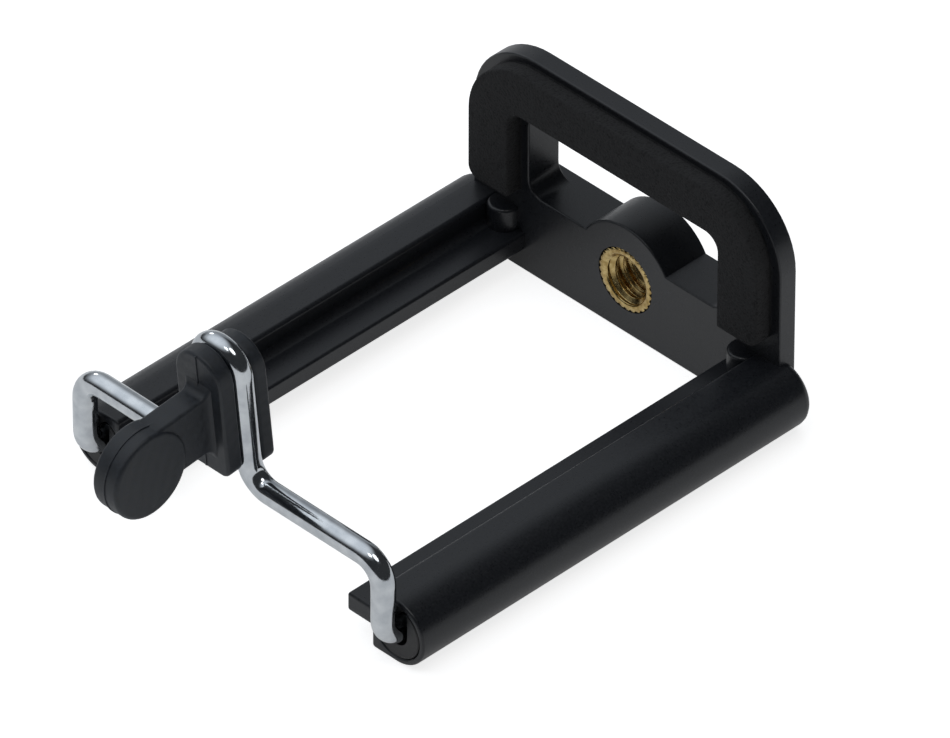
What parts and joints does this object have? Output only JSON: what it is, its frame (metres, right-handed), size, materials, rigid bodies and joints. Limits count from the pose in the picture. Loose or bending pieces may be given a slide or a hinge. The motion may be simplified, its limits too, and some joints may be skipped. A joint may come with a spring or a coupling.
{
  "type": "selfie stick phone clamp",
  "caption": "Spring-loaded clamp head of a selfie stick: moulded rail frame with foam-faced arch, tripod thread and sliding wire bail with a rubber jaw.",
  "frame": {"origin": "middle of the tripod thread, on its axis", "axes": "+X right, +Y along the thread's axis from the phone side to the stick side, +Z from the rails to the top of the arch"},
  "size_m": [0.0546, 0.0857, 0.0337],
  "materials": {
    "black_abs": "semi-gloss moulded",
    "adhesive": "film",
    "foam": "matt closed-cell foam",
    "brass": "machined",
    "chromed_wire": "bright",
    "jaw_rubber": "matt moulded",
    "plug_plastic": "satin moulded",
    "spring_steel": "drawn wire",
    "washer_steel": "zinc plated"
  },
  "bodies": {
    "frame_body": {"frame": "black_abs", "foam_tape": "adhesive", "foam_pad": "foam", "tripod_insert": "brass", "left_end_plug": "plug_plastic", "right_end_plug": "plug_plastic", "left_spring": "spring_steel", "right_spring": "spring_steel"},
    "bail_body": {"wire_bail": "chromed_wire", "jaw_grip": "jaw_rubber", "left_stop_washer": "washer_steel", "right_stop_washer": "washer_steel"}
  },
  "joints": [
    {"name": "jaw_pull", "type": "slide", "parent": "frame_body", "child": "bail_body", "axis": [0, -1, 0], "range_m": [0, 0.03], "stiffness_N_per_m": 500, "springref_m": -0.01, "deforming": ["left_spring", "right_spring"]}
  ]
}
